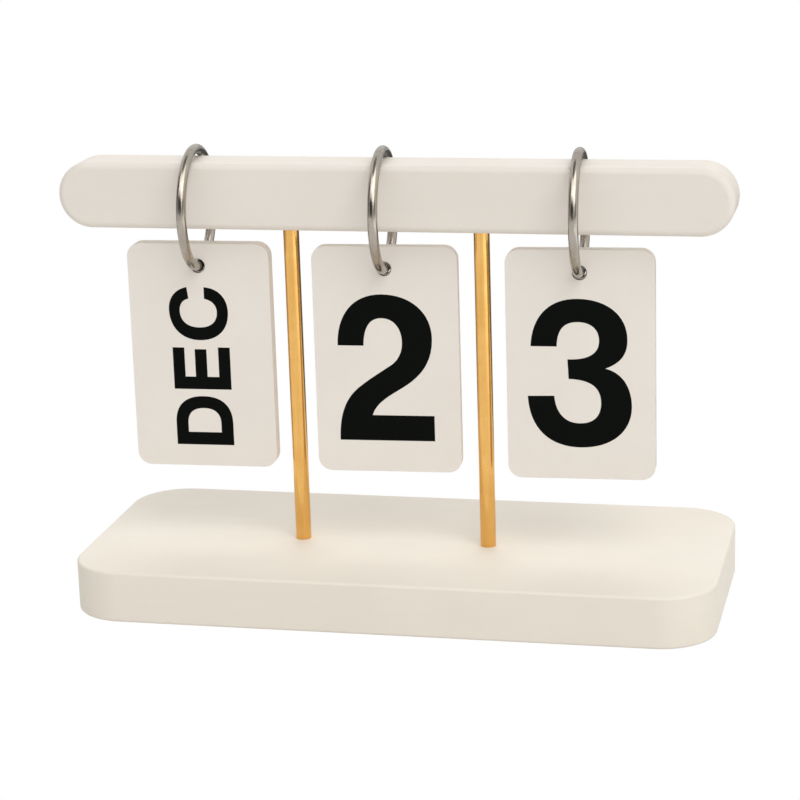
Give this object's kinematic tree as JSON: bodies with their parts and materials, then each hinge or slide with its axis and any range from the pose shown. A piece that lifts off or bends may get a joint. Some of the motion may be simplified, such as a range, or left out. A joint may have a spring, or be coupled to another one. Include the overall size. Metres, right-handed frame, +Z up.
{
  "type": "desk calendar",
  "caption": "Perpetual desk calendar: a pale rounded slab, slim metal posts and a crossbar, with hinged rings that carry hanging month and number cards.",
  "frame": {"origin": "On the table, under the middle of the crossbar's length and of the slab's depth", "axes": "X to the right along the crossbar, Y to the back, Z up"},
  "size_m": [0.233, 0.098, 0.1591],
  "materials": {
    "cream_paint": "matte cream lacquer over wood",
    "polished_brass": "polished",
    "nickel_wire": "bright nickel plate on round steel wire",
    "card_plastic": "matte cream sheet with black print",
    "pad_rubber": "soft grey rubber",
    "zinc_steel": "bright zinc plate"
  },
  "bodies": {
    "stand": {"base_slab": "cream_paint", "crossbar": "cream_paint", "foot_pad_front_left": "pad_rubber", "foot_pad_front_right": "pad_rubber", "foot_pad_rear_left": "pad_rubber", "foot_pad_rear_right": "pad_rubber", "post_left": "polished_brass", "post_right": "polished_brass", "post_screw_left": "zinc_steel", "post_screw_right": "zinc_steel", "post_washer_left": "zinc_steel", "post_washer_right": "zinc_steel"},
    "month_ring": {"month_ring_front_half": "nickel_wire", "month_ring_hinge_pin": "nickel_wire"},
    "month_ring_gate": {"month_ring_rear_half": "nickel_wire"},
    "month_front_card": {"month_card_1": "card_plastic"},
    "month_card_stack": {"month_card_2": "card_plastic", "month_card_3": "card_plastic", "month_card_4": "card_plastic", "month_card_5": "card_plastic", "month_card_6": "card_plastic"},
    "tens_ring": {"tens_ring_front_half": "nickel_wire", "tens_ring_hinge_pin": "nickel_wire"},
    "tens_ring_gate": {"tens_ring_rear_half": "nickel_wire"},
    "tens_front_card": {"tens_card_1": "card_plastic"},
    "tens_card_stack": {"tens_card_2": "card_plastic", "tens_card_3": "card_plastic", "tens_card_4": "card_plastic"},
    "units_ring": {"units_ring_front_half": "nickel_wire", "units_ring_hinge_pin": "nickel_wire"},
    "units_ring_gate": {"units_ring_rear_half": "nickel_wire"},
    "units_front_card": {"units_card_1": "card_plastic"},
    "units_card_stack": {"units_card_2": "card_plastic", "units_card_3": "card_plastic", "units_card_4": "card_plastic", "units_card_5": "card_plastic"}
  },
  "joints": [
    {"name": "month_ring_slide", "type": "slide", "parent": "stand", "child": "month_ring", "axis": [1, 0, 0], "range_m": [-0.025, 0.005]},
    {"name": "month_ring_opens", "type": "hinge", "parent": "month_ring", "child": "month_ring_gate", "pos_m": [-0.06958, 0.002, 0.11772], "axis": [-0.9993, -0.0366, 0], "range_deg": [0, 50]},
    {"name": "month_card_turn", "type": "hinge", "parent": "month_ring", "child": "month_front_card", "pos_m": [-0.0694, -0.003, 0.13723], "axis": [-0.9993, -0.0366, 0], "range_deg": [0, 90]},
    {"name": "month_stack_turn", "type": "hinge", "parent": "month_ring", "child": "month_card_stack", "pos_m": [-0.0694, -0.003, 0.13723], "axis": [-0.9993, -0.0366, 0], "range_deg": [-60, 0]},
    {"name": "tens_ring_slide", "type": "slide", "parent": "stand", "child": "tens_ring", "axis": [1, 0, 0], "range_m": [-0.004, 0.005]},
    {"name": "tens_ring_opens", "type": "hinge", "parent": "tens_ring", "child": "tens_ring_gate", "pos_m": [-0.00366, 0.00199, 0.11772], "axis": [-0.9986, -0.0523, 0], "range_deg": [0, 50]},
    {"name": "tens_card_turn", "type": "hinge", "parent": "tens_ring", "child": "tens_front_card", "pos_m": [-0.0034, -0.003, 0.13723], "axis": [-0.9986, -0.0523, 0], "range_deg": [0, 90]},
    {"name": "tens_stack_turn", "type": "hinge", "parent": "tens_ring", "child": "tens_card_stack", "pos_m": [-0.0034, -0.003, 0.13723], "axis": [-0.9986, -0.0523, 0], "range_deg": [-60, 0]},
    {"name": "units_ring_slide", "type": "slide", "parent": "stand", "child": "units_ring", "axis": [1, 0, 0], "range_m": [-0.005, 0.025]},
    {"name": "units_ring_opens", "type": "hinge", "parent": "units_ring", "child": "units_ring_gate", "pos_m": [0.06366, 0.00199, 0.11772], "axis": [-0.9988, -0.0489, 0], "range_deg": [0, 50]},
    {"name": "units_card_turn", "type": "hinge", "parent": "units_ring", "child": "units_front_card", "pos_m": [0.0639, -0.003, 0.13723], "axis": [-0.9988, -0.0489, 0], "range_deg": [0, 90]},
    {"name": "units_stack_turn", "type": "hinge", "parent": "units_ring", "child": "units_card_stack", "pos_m": [0.0639, -0.003, 0.13723], "axis": [-0.9988, -0.0489, 0], "range_deg": [-60, 0]}
  ]
}
